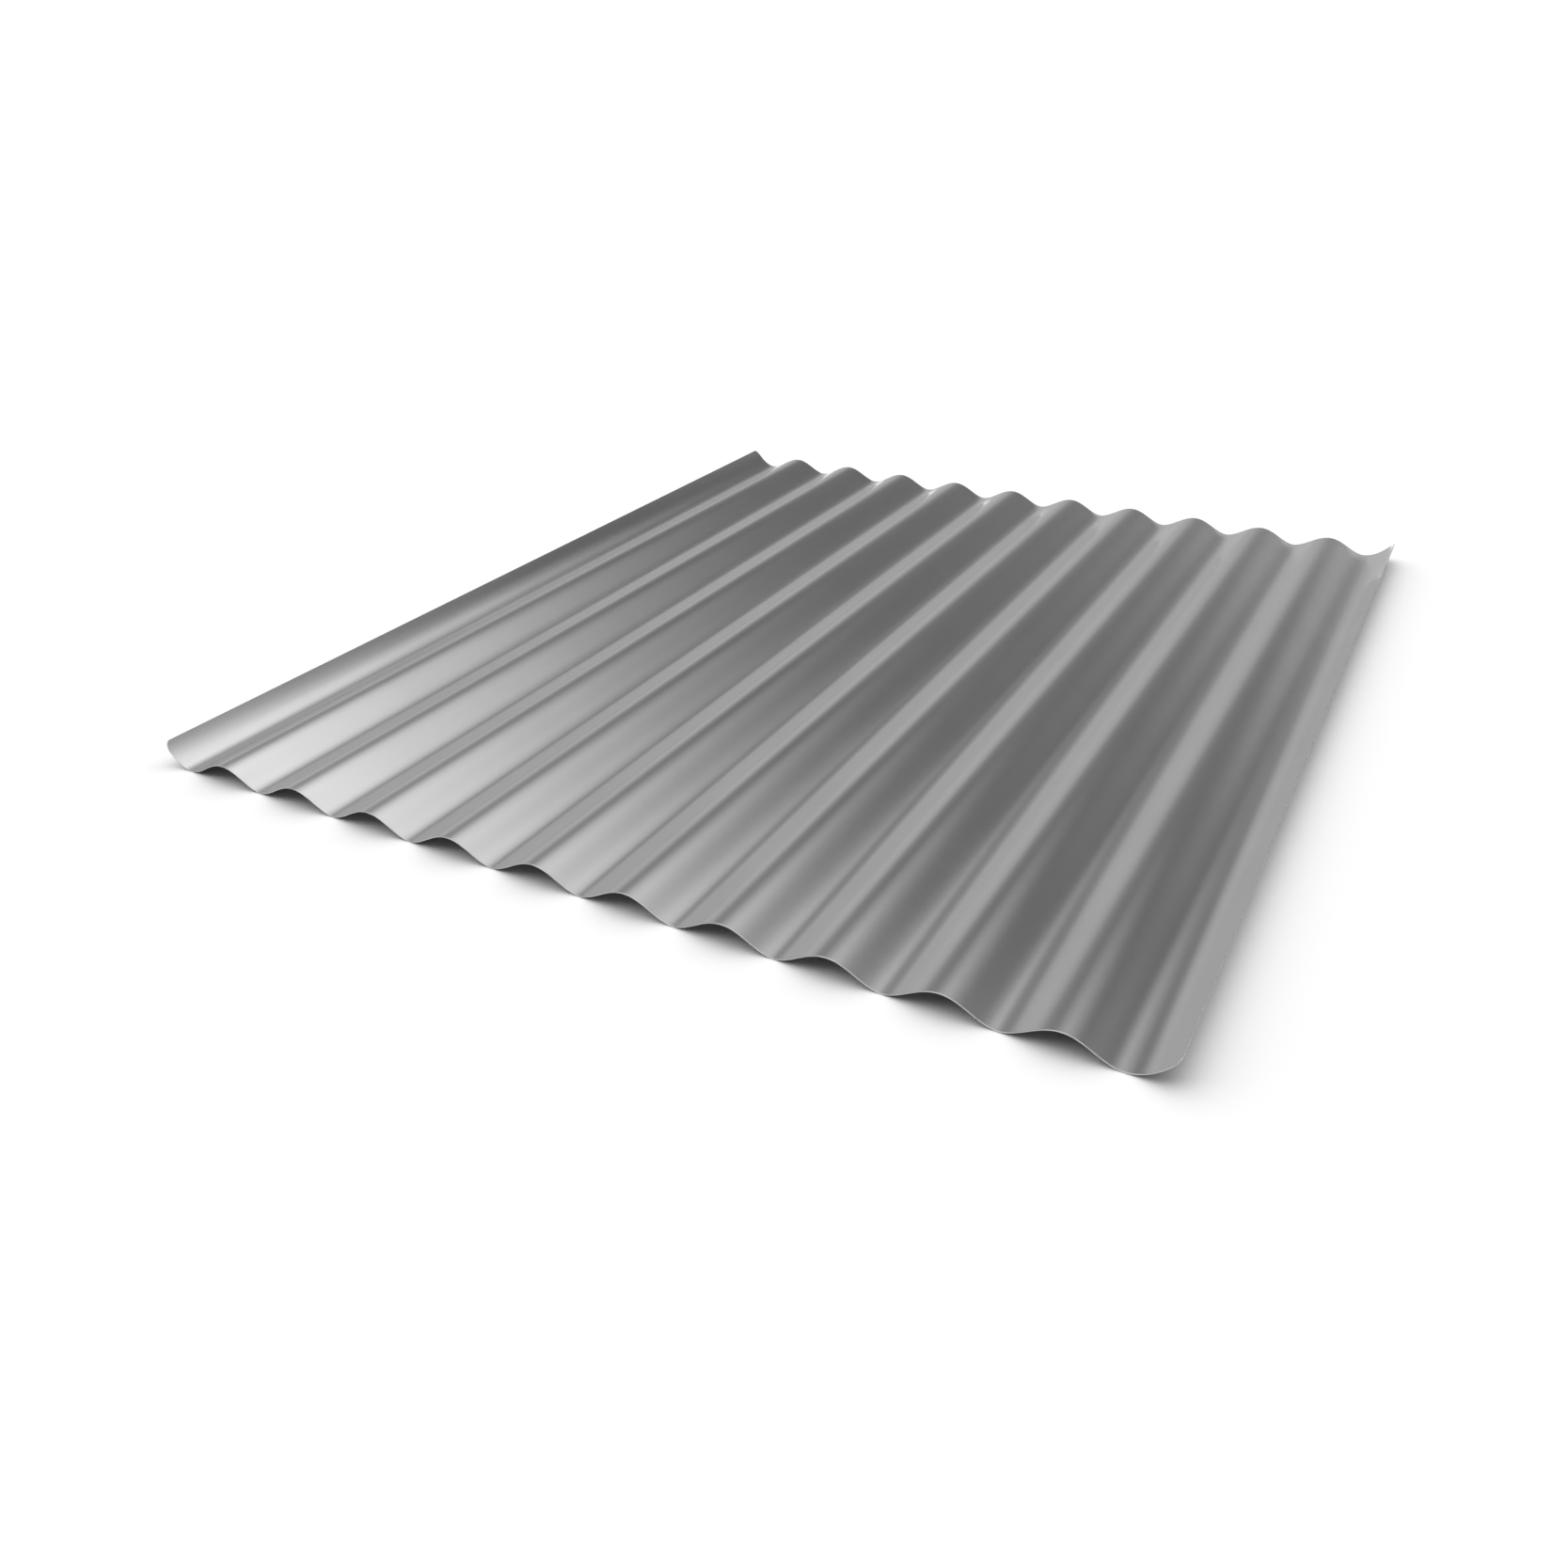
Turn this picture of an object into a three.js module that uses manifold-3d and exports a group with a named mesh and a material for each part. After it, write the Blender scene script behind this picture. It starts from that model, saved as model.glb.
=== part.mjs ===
// Corrugated metal sheet, a roofing and cladding panel lying flat.
//
// The sheet is one strip of zinc-coated steel, roll formed into even waves of one thickness, with its two
// long edges turned up, and sheared to length. Millimetres, +Z up. The waves run along Y and follow each
// other along X. The origin is on the floor that the sheet lies on, under its middle.

import * as THREE from "three";
import { mergeVertices } from "three/addons/utils/BufferGeometryUtils.js";
import Module from "manifold-3d";

const sheetLength = 985; // along the waves
const pitch = 76.2; // from one valley to the next
const fullWaves = 10; // whole waves between the two outer valleys
const waveDepth = 14; // from valley to crest, on the same face
const gauge = 0.8; // thickness of the metal, square to its surface
const lapRise = 19.5; // how far the long edges stand above the valleys
const cornerRadius = 6; // rounding of the four corners, seen from above

// The side laps, by how far each reaches from its outer valley to the long edge. The strip runs through the
// rolls a little to the right, so its right lap is the wider one.
const leftLap = { side: -1, reach: 27 };
const rightLap = { side: 1, reach: 30.5 };

// How finely the curves are faceted. An even number leaves a level facet along each valley and each crest.
const facetsPerWave = 36;
const facetsPerLap = 14;
const facetsPerCorner = 8;

const shearAllowance = 10; // strip beyond each end, lost when the sheet is cut to length

const galvanisedSteel = new THREE.MeshStandardMaterial({
  name: "galvanised_steel",
  color: 0xe4e4e4,
  roughness: 0.2,
  metalness: 0.8,
});

const coverWidth = fullWaves * pitch;
const facetWidth = pitch / facetsPerWave;

// The wave is a sine, measured at the middle of the metal's thickness from the bottom of a valley.
function waveAt(x) {
  const phase = (2 * Math.PI * (x + coverWidth / 2)) / pitch;
  return {
    x,
    height: (waveDepth / 2) * (1 - Math.cos(phase)),
    slope: ((Math.PI * waveDepth) / pitch) * Math.sin(phase),
  };
}

// A side lap leaves its outer valley level and climbs ever steeper, as a parabola, to the long edge.
function lapAt(lap, out) {
  return {
    x: lap.side * (coverWidth / 2 + out),
    height: lapRise * (out / lap.reach) ** 2,
    slope: (lap.side * 2 * lapRise * out) / lap.reach ** 2,
  };
}

// Stations across the sheet, from the left edge to the right one. Those of the waves start and end half a
// facet beyond the outer valleys, so that every valley has a level facet under it.
function stationsAcross() {
  const evenly = (start, step, count) => Array.from({ length: count }, (_, i) => start + i * step);
  const stationsOf = (lap) => {
    const step = (lap.reach - facetWidth / 2) / facetsPerLap;
    return evenly(facetWidth / 2 + step, step, facetsPerLap).map((out) => lapAt(lap, out));
  };
  const waves = evenly(-facetWidth / 2 - coverWidth / 2, facetWidth, fullWaves * facetsPerWave + 2);
  return [...stationsOf(leftLap).toReversed(), ...waves.map(waveAt), ...stationsOf(rightLap)];
}

// The section has the same gauge all the way across, because both faces are set off square to the slope.
function sheetSection() {
  const face = (station, offset) => {
    const squareToSlope = new THREE.Vector2(-station.slope, 1).setLength(offset);
    return new THREE.Vector2(station.x, station.height).add(squareToSlope);
  };
  const stations = stationsAcross();
  const underside = stations.map((station) => face(station, -gauge / 2));
  const topside = stations.map((station) => face(station, gauge / 2));
  return new THREE.Shape([...underside, ...topside.toReversed()]);
}

// The outline of the finished sheet seen from above: a rectangle with rounded corners.
function planOutline(width, length, radius) {
  const outline = new THREE.Shape();
  outline.absarc(width / 2 - radius, length / 2 - radius, radius, 0, Math.PI / 2);
  outline.absarc(radius - width / 2, length / 2 - radius, radius, Math.PI / 2, Math.PI);
  outline.absarc(radius - width / 2, radius - length / 2, radius, Math.PI, 1.5 * Math.PI);
  outline.absarc(width / 2 - radius, radius - length / 2, radius, 1.5 * Math.PI, 2 * Math.PI);
  return outline;
}

const wasm = await Module();
wasm.setup();

function toSolid(geometry) {
  const bare = geometry.clone();
  bare.deleteAttribute("normal");
  bare.deleteAttribute("uv");
  const merged = mergeVertices(bare);
  const mesh = new wasm.Mesh({
    numProp: 3,
    vertProperties: merged.attributes.position.array,
    triVerts: Uint32Array.from(merged.index.array),
  });
  return new wasm.Manifold(mesh);
}

function toGeometry(solid) {
  const mesh = solid.getMesh();
  const geometry = new THREE.BufferGeometry();
  geometry.setAttribute("position", new THREE.BufferAttribute(mesh.vertProperties, 3));
  geometry.setIndex(new THREE.BufferAttribute(mesh.triVerts, 1));
  geometry.computeVertexNormals();
  return geometry;
}

function corrugatedSheet() {
  const section = sheetSection();
  const extent = new THREE.Box2().setFromPoints(section.getPoints());
  const width = extent.max.x - extent.min.x;
  const middle = (extent.max.x + extent.min.x) / 2;

  // The rolled strip: the section drawn out along Y, centred, with its lowest face on the floor.
  const stripLength = sheetLength + 2 * shearAllowance;
  const strip = new THREE.ExtrudeGeometry(section, { depth: stripLength, bevelEnabled: false });
  strip.rotateX(Math.PI / 2);
  strip.translate(-middle, stripLength / 2, -extent.min.y);

  // The shears: an upright prism of the plan outline, taller than the waves.
  const prismHeight = 2 * (extent.max.y - extent.min.y);
  const outline = planOutline(width, sheetLength, cornerRadius);
  const shears = new THREE.ExtrudeGeometry(outline, {
    depth: prismHeight,
    bevelEnabled: false,
    curveSegments: facetsPerCorner,
  });
  shears.translate(0, 0, -prismHeight / 4);

  const sheet = new THREE.Mesh(toGeometry(toSolid(strip).intersect(toSolid(shears))), galvanisedSteel);
  sheet.name = "corrugated_sheet";
  return sheet;
}

const model = new THREE.Group();
model.name = "corrugated_metal_sheet";
model.add(corrugatedSheet());

export default model;
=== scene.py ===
import math

import bmesh
import bpy
from mathutils import Euler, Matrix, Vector


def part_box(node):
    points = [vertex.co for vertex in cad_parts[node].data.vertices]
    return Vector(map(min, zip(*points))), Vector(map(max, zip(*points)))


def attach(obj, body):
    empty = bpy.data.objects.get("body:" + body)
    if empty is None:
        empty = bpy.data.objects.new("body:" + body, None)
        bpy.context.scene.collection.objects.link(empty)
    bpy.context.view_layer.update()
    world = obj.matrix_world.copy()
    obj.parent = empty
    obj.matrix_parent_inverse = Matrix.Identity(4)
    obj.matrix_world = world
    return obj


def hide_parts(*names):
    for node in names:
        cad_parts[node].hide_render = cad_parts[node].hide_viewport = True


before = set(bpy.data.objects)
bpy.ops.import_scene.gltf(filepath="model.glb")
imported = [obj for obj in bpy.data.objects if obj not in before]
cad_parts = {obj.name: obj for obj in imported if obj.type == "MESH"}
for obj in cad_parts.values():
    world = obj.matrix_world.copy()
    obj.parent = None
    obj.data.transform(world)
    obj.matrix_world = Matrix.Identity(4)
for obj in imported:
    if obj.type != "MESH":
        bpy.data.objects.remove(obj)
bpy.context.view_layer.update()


# ---------------------------------------------------------------------------------------------------------
# The sheet. One strip of thin zinc-coated steel, pressed by rollers into even round waves, with both long
# edges turned up as side laps. It is sheared to length, its corners are rounded, and it lies on its valleys.
# A valley form of 2 would be an even sine; below 2 the valleys are a little tighter than the crests.

pitch = 0.0762
full_waves = 10
wave_depth = 0.014
valley_form = 1.8
gauge = 0.0008
left_lap = 0.027
right_lap = 0.0305
lap_rise = 0.0195
corner_radius = 0.006
corner_steps = 10
scores_per_wave = 60
scores_per_lap = 20
scores_along = 12
edge_dulling = 0.00035
dulling_steps = 4
sharp_edge_angle = math.radians(60)

sheet_low, sheet_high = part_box("corrugated_sheet")
sheet_length = sheet_high.y - sheet_low.y
# Half the gauge stands out past the middle of the metal, square to the lean of the lap's end.
left_lap_lean = math.atan(2 * lap_rise / left_lap)
left_valley = sheet_low.x + gauge / 2 * math.sin(left_lap_lean) + left_lap
right_valley = left_valley + full_waves * pitch


def flat_blank():
    """The strip before rolling: a flat rectangle with its four corners rounded."""
    blank = bmesh.new()
    left = left_valley - left_lap
    right = right_valley + right_lap
    front = -sheet_length / 2
    back = sheet_length / 2
    plan = ((left, front, 0), (right, front, 0), (right, back, 0), (left, back, 0))
    corners = [blank.verts.new(place) for place in plan]
    blank.faces.new(corners)
    bmesh.ops.bevel(
        blank,
        geom=corners,
        offset=corner_radius,
        segments=corner_steps,
        profile=0.5,
        affect="VERTICES",
        material=-1,
    )
    return blank


def score(blank, place, across):
    """Cuts the flat strip's faces along one straight line, so that it can bend there."""
    everything = [*blank.verts, *blank.edges, *blank.faces]
    bmesh.ops.bisect_plane(blank, geom=everything, plane_co=place, plane_no=across)


def rolled_height(x):
    """How far the middle of the metal stands above the floor after rolling."""
    if x < left_valley:
        return gauge / 2 + lap_rise * ((left_valley - x) / left_lap) ** 2
    if x > right_valley:
        return gauge / 2 + lap_rise * ((x - right_valley) / right_lap) ** 2
    turn = math.pi * (x - left_valley) / pitch
    return gauge / 2 + wave_depth * abs(math.sin(turn)) ** valley_form


def placed(name, shape):
    """Makes an object of a finished shape and stands it in the scene."""
    mesh = bpy.data.meshes.new(name)
    shape.to_mesh(mesh)
    shape.free()
    made = bpy.data.objects.new(name, mesh)
    bpy.context.scene.collection.objects.link(made)
    return made


sheet_shape = flat_blank()
for step in range(1, scores_along):
    place = sheet_length * (step / scores_along - 0.5)
    score(sheet_shape, (0, place, 0), (0, 1, 0))
for step in range(full_waves * scores_per_wave + 1):
    place = left_valley + pitch * step / scores_per_wave
    score(sheet_shape, (place, 0, 0), (1, 0, 0))
for step in range(1, scores_per_lap):
    share = step / scores_per_lap
    score(sheet_shape, (left_valley - left_lap * share, 0, 0), (1, 0, 0))
    score(sheet_shape, (right_valley + right_lap * share, 0, 0), (1, 0, 0))
for vert in sheet_shape.verts:
    vert.co.z = rolled_height(vert.co.x)
for face in sheet_shape.faces:
    face.smooth = True
sheet_shape.normal_update()
sheet = placed("rolled_sheet", sheet_shape)

thickness = sheet.modifiers.new("gauge", "SOLIDIFY")
thickness.thickness = gauge
thickness.offset = 0
thickness.use_even_offset = True
thickness.material_offset_rim = 1

dulled_edge = sheet.modifiers.new("dulled_edge", "BEVEL")
dulled_edge.width = edge_dulling
dulled_edge.segments = dulling_steps
dulled_edge.limit_method = "ANGLE"
dulled_edge.angle_limit = sharp_edge_angle
dulled_edge.harden_normals = True


noise_low = 0.3
noise_high = 0.7
zinc_metallic = 0.88
zinc_greys = (0.765, 0.795)
streak_scale = (90, 1.5, 90)
cloud_scale = 12
zinc_roughness = (0.13, 0.145)
valley_roughness = 0.09
valley_dull_up_to = 0.0025
cut_metallic = 0.9
cut_roughness = 0.5
cut_greys = (0.66, 0.78)
cut_mark_scale = 400


def grey(level):
    """A neutral colour, from 0 for black to 1 for white."""
    return (level, level, level, 1)


def new_material(name):
    """A new material, with the node tree that its finish is built in."""
    material = bpy.data.materials.new(name)
    material.use_nodes = True
    return material, material.node_tree


def noise(tree, place, scale):
    """A cloudy pattern, with about as many clouds to the metre as its scale says."""
    pattern = tree.nodes.new("ShaderNodeTexNoise")
    pattern.inputs["Scale"].default_value = scale
    pattern.inputs["Detail"].default_value = 2
    tree.links.new(place, pattern.inputs["Vector"])
    return pattern.outputs["Fac"]


def spread(tree, value, from_low, from_high, to_low, to_high):
    """Spreads one range of a value evenly over another."""
    spreader = tree.nodes.new("ShaderNodeMapRange")
    spreader.inputs["From Min"].default_value = from_low
    spreader.inputs["From Max"].default_value = from_high
    spreader.inputs["To Min"].default_value = to_low
    spreader.inputs["To Max"].default_value = to_high
    tree.links.new(value, spreader.inputs["Value"])
    return spreader


def joined(tree, operation, first, second):
    """Joins two values into one, by adding or multiplying them or by taking the larger."""
    joint = tree.nodes.new("ShaderNodeMath")
    joint.operation = operation
    tree.links.new(first, joint.inputs[0])
    tree.links.new(second, joint.inputs[1])
    return joint.outputs["Value"]


def shade_steel(tree, pattern, levels):
    """Colours the steel with two near greys that follow a noise pattern."""
    shades = tree.nodes.new("ShaderNodeValToRGB")
    for stop, position, level in zip(shades.color_ramp.elements, (noise_low, noise_high), levels):
        stop.position = position
        stop.color = grey(level)
    tree.links.new(pattern, shades.inputs["Fac"])
    tree.links.new(shades.outputs["Color"], tree.nodes["Principled BSDF"].inputs["Base Color"])


def galvanised_steel():
    """Satin zinc, faintly streaked along the rolling direction, faintly cloudy, and duller in the valleys."""
    material, tree = new_material("galvanised_steel")
    steel = tree.nodes["Principled BSDF"]
    steel.inputs["Metallic"].default_value = zinc_metallic
    place = tree.nodes.new("ShaderNodeTexCoord").outputs["Object"]
    shade_steel(tree, noise(tree, place, cloud_scale), zinc_greys)

    streaked = tree.nodes.new("ShaderNodeMapping")
    streaked.inputs["Scale"].default_value = streak_scale
    tree.links.new(place, streaked.inputs["Vector"])
    streaks = noise(tree, streaked.outputs["Vector"], 1)
    polish = spread(tree, streaks, noise_low, noise_high, *zinc_roughness)

    spot = tree.nodes.new("ShaderNodeSeparateXYZ")
    tree.links.new(place, spot.inputs["Vector"])
    dullness = spread(tree, spot.outputs["Z"], gauge, valley_dull_up_to, valley_roughness, 0)
    dullness.interpolation_type = "SMOOTHSTEP"
    roughness = joined(tree, "ADD", polish.outputs["Result"], dullness.outputs["Result"])
    tree.links.new(roughness, steel.inputs["Roughness"])
    return material


def sheared_steel():
    """The cut faces, where the shears laid the dull core of the steel bare."""
    material, tree = new_material("sheared_steel")
    steel = tree.nodes["Principled BSDF"]
    steel.inputs["Metallic"].default_value = cut_metallic
    steel.inputs["Roughness"].default_value = cut_roughness
    place = tree.nodes.new("ShaderNodeTexCoord").outputs["Object"]
    shade_steel(tree, noise(tree, place, cut_mark_scale), cut_greys)
    return material


sheet.data.materials.append(galvanised_steel())
sheet.data.materials.append(sheared_steel())
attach(sheet, "root")
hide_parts("corrugated_sheet")


# ---------------------------------------------------------------------------------------------------------
# The studio floor: matt and white, out to the horizon. The camera and the metal see it white, and the light
# that it hands up under the sheet is weaker, so that the shadow there stays deep.

floor_radius = 60
floor_sides = 64
floor_handed_up_level = 0.2
first_bounce = 0.5


def seen_directly(tree):
    """One for what is seen, in person or in a reflection, and nought for the light cast on other things."""
    ray = tree.nodes.new("ShaderNodeLightPath")
    camera_or_glossy = joined(tree, "MAXIMUM", ray.outputs["Is Camera Ray"], ray.outputs["Is Glossy Ray"])
    return joined(tree, "MAXIMUM", camera_or_glossy, ray.outputs["Is Transmission Ray"])


def compared(tree, operation, value, limit):
    """One where a value is above or below a limit, and nought elsewhere."""
    comparison = tree.nodes.new("ShaderNodeMath")
    comparison.operation = operation
    comparison.inputs[1].default_value = limit
    tree.links.new(value, comparison.inputs[0])
    return comparison.outputs["Value"]


def floor_white():
    """White paper, seen at full white but handing on the light of a darker grey."""
    material, tree = new_material("floor_white")
    tree.nodes.remove(tree.nodes["Principled BSDF"])
    ray = tree.nodes.new("ShaderNodeLightPath")
    first_hand = compared(tree, "LESS_THAN", ray.outputs["Diffuse Depth"], first_bounce)
    white = tree.nodes.new("ShaderNodeMix")
    white.data_type = "RGBA"
    white.inputs["A"].default_value = grey(floor_handed_up_level)
    white.inputs["B"].default_value = grey(1)
    tree.links.new(joined(tree, "MULTIPLY", seen_directly(tree), first_hand), white.inputs["Factor"])
    matt = tree.nodes.new("ShaderNodeBsdfDiffuse")
    tree.links.new(white.outputs["Result"], matt.inputs["Color"])
    tree.links.new(matt.outputs["BSDF"], tree.nodes["Material Output"].inputs["Surface"])
    return material


floor_shape = bmesh.new()
bmesh.ops.create_circle(floor_shape, cap_ends=True, segments=floor_sides, radius=floor_radius)
floor = placed("floor", floor_shape)
floor.data.materials.append(floor_white())


# ---------------------------------------------------------------------------------------------------------
# The painted dome over the sheet, which only the metal sees. It is mid grey at its foot, dark half way up and
# white overhead, with a window's glow on the right and a fainter one on the left. Where one wave is seen
# reflected in the next, the reflection within that reflection is painted as a plain grey, not traced.

dome_radius = 10
dome_foot = 0.001
dome_sides = 96
foot_level = 0.42
levels_by_elevation = (
    (12, 0.35),
    (17, 0.25),
    (20, 0.165),
    (24, 0.115),
    (30, 0.08),
    (34, 0.1),
    (38, 0.19),
    (42, 0.29),
    (46, 0.47),
    (50, 0.62),
    (54, 0.81),
    (58, 0.96),
    (61, 1),
)
window_way = (1, 0, 0.5)
window_reach = (6.8, 9)
window_glow = 0.2
wall_way = (-1, 0, 1)
wall_reach = (9, 12)
wall_glow = 0.16
painted_second_reflection_grey = 0.39
second_reflection = 1.5


def glowing_paint(name):
    """A paint that shines by itself, so that no lamp or shadow shows on it."""
    material, tree = new_material(name)
    tree.nodes.remove(tree.nodes["Principled BSDF"])
    glow = tree.nodes.new("ShaderNodeEmission")
    tree.links.new(glow.outputs["Emission"], tree.nodes["Material Output"].inputs["Surface"])
    material.cycles.emission_sampling = "NONE"
    return material, glow


def glow_on_one_side(tree, place, way, reach, strength):
    """A glow that starts at the nearer of two distances towards a side, and is full at the farther one."""
    side = tree.nodes.new("ShaderNodeVectorMath")
    side.operation = "DOT_PRODUCT"
    side.inputs[1].default_value = way
    tree.links.new(place, side.inputs[0])
    return spread(tree, side.outputs["Value"], *reach, 0, strength).outputs["Result"]


def dome_paint():
    """Greys painted by elevation, with a glow on either side."""
    material, glow = glowing_paint("dome_paint")
    tree = material.node_tree
    place = tree.nodes.new("ShaderNodeTexCoord").outputs["Object"]
    spot = tree.nodes.new("ShaderNodeSeparateXYZ")
    tree.links.new(place, spot.inputs["Vector"])
    height = spread(tree, spot.outputs["Z"], 0, dome_radius, 0, 1)
    paint = tree.nodes.new("ShaderNodeValToRGB")
    paint.color_ramp.elements[0].color = grey(foot_level)
    for elevation, level in levels_by_elevation:
        stop = paint.color_ramp.elements.new(math.sin(math.radians(elevation)))
        stop.color = grey(level)
    tree.links.new(height.outputs["Result"], paint.inputs["Fac"])

    window = glow_on_one_side(tree, place, window_way, window_reach, window_glow)
    wall = glow_on_one_side(tree, place, wall_way, wall_reach, wall_glow)
    lit_paint = joined(tree, "ADD", paint.outputs["Color"], joined(tree, "ADD", window, wall))

    # Painted reflection: rays on their second reflection see a plain painted grey instead of the dome's
    # greys.
    ray = tree.nodes.new("ShaderNodeLightPath")
    shade = tree.nodes.new("ShaderNodeMix")
    shade.inputs["B"].default_value = painted_second_reflection_grey
    painted_reflection_mask = compared(tree, "GREATER_THAN", ray.outputs["Glossy Depth"], second_reflection)
    tree.links.new(painted_reflection_mask, shade.inputs["Factor"])
    tree.links.new(lit_paint, shade.inputs["A"])
    tree.links.new(shade.outputs["Result"], glow.inputs["Strength"])
    return material


def show_to_metal_only(thing):
    """Hides a studio piece from everything but reflections."""
    thing.visible_camera = False
    thing.visible_diffuse = False
    thing.visible_transmission = False
    thing.visible_shadow = False


dome_shape = bmesh.new()
bmesh.ops.create_uvsphere(dome_shape, u_segments=dome_sides, v_segments=dome_sides, radius=dome_radius)
bmesh.ops.bisect_plane(
    dome_shape,
    geom=[*dome_shape.verts, *dome_shape.edges, *dome_shape.faces],
    plane_co=(0, 0, dome_foot),
    plane_no=(0, 0, 1),
    clear_inner=True,
)
bmesh.ops.reverse_faces(dome_shape, faces=dome_shape.faces)
dome = placed("studio_dome", dome_shape)
show_to_metal_only(dome)
dome.data.materials.append(dome_paint())


# ---------------------------------------------------------------------------------------------------------
# The low card, which only the metal sees too. It is a strip of grey card that stands on edge close behind the
# sheet, so that the valleys' far ends reflect it there and not the white floor.

card_gap = 0.0225
card_half_width = 1
card_foot = 0.0005
card_top = 0.014
card_level = 0.45

card_behind = sheet_high.y + card_gap
card_shape = bmesh.new()
card_corners = (
    (-card_half_width, card_behind, card_foot),
    (card_half_width, card_behind, card_foot),
    (card_half_width, card_behind, card_top),
    (-card_half_width, card_behind, card_top),
)
card_shape.faces.new([card_shape.verts.new(corner) for corner in card_corners])
card = placed("low_card", card_shape)
show_to_metal_only(card)
card_paper, card_glow = glowing_paint("card_paper")
card_glow.inputs["Color"].default_value = grey(card_level)
card.data.materials.append(card_paper)


# ---------------------------------------------------------------------------------------------------------
# The light: an even white sky, and one very broad soft lamp. The lamp stands low behind the sheet, on the
# left, so that the soft shadow falls forwards and to the right.

sky_level = 0.14
lamp_power = 4.53
lamp_spread = math.radians(160)
lamp_height = math.radians(25)
lamp_heading = math.radians(-45)

sky = bpy.data.worlds.new("sky")
sky.use_nodes = True
bpy.context.scene.world = sky
background = sky.node_tree.nodes["Background"]
background.inputs["Color"].default_value = grey(1)
level = spread(sky.node_tree, seen_directly(sky.node_tree), 0, 1, sky_level, 1)
sky.node_tree.links.new(level.outputs["Result"], background.inputs["Strength"])

lamp_data = bpy.data.lights.new("soft_lamp", "SUN")
lamp_data.angle = lamp_spread
lamp_data.energy = lamp_power
lamp = bpy.data.objects.new("soft_lamp", lamp_data)
bpy.context.scene.collection.objects.link(lamp)
lamp.visible_glossy = False
towards_lamp = Vector(
    (
        math.cos(lamp_height) * math.sin(lamp_heading),
        math.cos(lamp_height) * math.cos(lamp_heading),
        math.sin(lamp_height),
    )
)
lamp.rotation_euler = towards_lamp.to_track_quat("Z", "Y").to_euler()


# ---------------------------------------------------------------------------------------------------------
# The camera stands beyond the front right corner of the sheet and looks down on it, with a fairly wide lens.

camera_lens = 30.7798
camera_place = (0.486142, -1.103204, 0.520229)
camera_tilt = math.radians(60.7093)
camera_lean = math.radians(0.0513)
camera_heading = math.radians(28.1285)

camera_data = bpy.data.cameras.new("camera")
camera_data.lens = camera_lens
camera = bpy.data.objects.new("camera", camera_data)
bpy.context.scene.collection.objects.link(camera)
camera.location = camera_place
camera.rotation_euler = Euler((camera_tilt, camera_lean, camera_heading))
bpy.context.scene.camera = camera
bpy.context.scene.view_settings.view_transform = "Standard"
